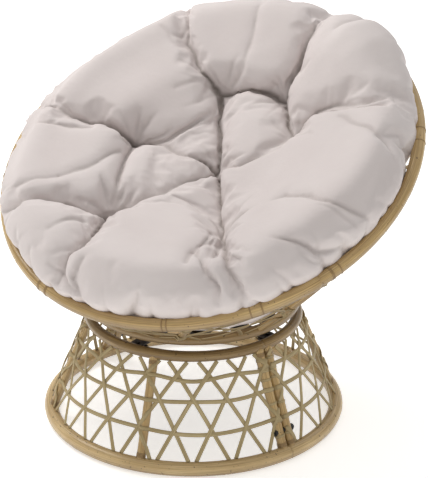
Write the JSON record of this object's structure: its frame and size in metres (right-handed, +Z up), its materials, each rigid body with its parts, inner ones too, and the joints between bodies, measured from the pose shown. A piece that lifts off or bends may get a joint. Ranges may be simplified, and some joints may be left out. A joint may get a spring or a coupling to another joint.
{
  "type": "papasan chair",
  "caption": "Round lounge chair: a reclined ring-framed bowl with a thick tufted cushion that turns level on an open-weave drum base.",
  "frame": {"origin": "on the floor, under the middle of the whole chair's box", "axes": "+Z up from the floor, -Y the way the sitter faces, +X to the sitter's left"},
  "size_m": [1.0092, 0.899, 0.8955],
  "materials": {
    "wrapped_pole": "satin",
    "woven_strand": "satin",
    "black_steel": "satin",
    "black_plastic": "moulded",
    "cushion_fabric": "woven"
  },
  "bodies": {
    "base": {"base_floor_ring_left": "wrapped_pole", "base_top_ring_left": "wrapped_pole", "base_floor_ring_right": "wrapped_pole", "base_top_ring_right": "wrapped_pole", "base_post_1": "wrapped_pole", "base_post_2": "wrapped_pole", "base_post_4": "wrapped_pole", "base_post_5": "wrapped_pole", "front_seam_post_left": "wrapped_pole", "front_seam_cap_left": "black_plastic", "front_seam_post_right": "wrapped_pole", "front_seam_cap_right": "black_plastic", "front_seam_bolt": "black_steel", "front_seam_spacer": "black_plastic", "rear_seam_post_left": "wrapped_pole", "rear_seam_cap_left": "black_plastic", "rear_seam_post_right": "wrapped_pole", "rear_seam_cap_right": "black_plastic", "rear_seam_bolt": "black_steel", "rear_seam_spacer": "black_plastic", "base_weave_1": "woven_strand", "base_weave_2": "woven_strand", "base_weave_3": "woven_strand", "base_weave_4": "woven_strand", "base_weave_5": "woven_strand", "base_weave_6": "woven_strand", "base_spider": "black_steel", "lower_race": "black_steel", "ball_cage": "black_steel", "swivel_pivot": "black_steel", "base_arm_bolt_1": "black_steel", "base_arm_bolt_2": "black_steel", "base_arm_bolt_3": "black_steel", "base_arm_bolt_4": "black_steel"},
    "seat": {"upper_race": "black_steel", "seat_spider": "black_steel", "seat_arm_bolt_1": "black_steel", "seat_arm_bolt_2": "black_steel", "seat_arm_bolt_3": "black_steel", "seat_arm_bolt_4": "black_steel", "seat_lower_ring": "wrapped_pole", "seat_rim": "wrapped_pole", "seat_rib_1": "wrapped_pole", "seat_weave_1": "woven_strand", "seat_rib_2": "wrapped_pole", "seat_weave_2": "woven_strand", "seat_rib_3": "wrapped_pole", "seat_weave_3": "woven_strand", "seat_rib_4": "wrapped_pole", "seat_weave_4": "woven_strand", "seat_rib_5": "wrapped_pole", "seat_weave_5": "woven_strand", "seat_rib_6": "wrapped_pole", "seat_weave_6": "woven_strand", "seat_rib_7": "wrapped_pole", "seat_weave_7": "woven_strand", "seat_rib_8": "wrapped_pole", "seat_weave_8": "woven_strand", "cushion": "cushion_fabric"}
  },
  "joints": [
    {"name": "seat_swivel", "type": "hinge", "parent": "base", "child": "seat", "pos_m": [0, -0.0693, 0.2593], "axis": [0, 0, 1], "continuous": true}
  ]
}
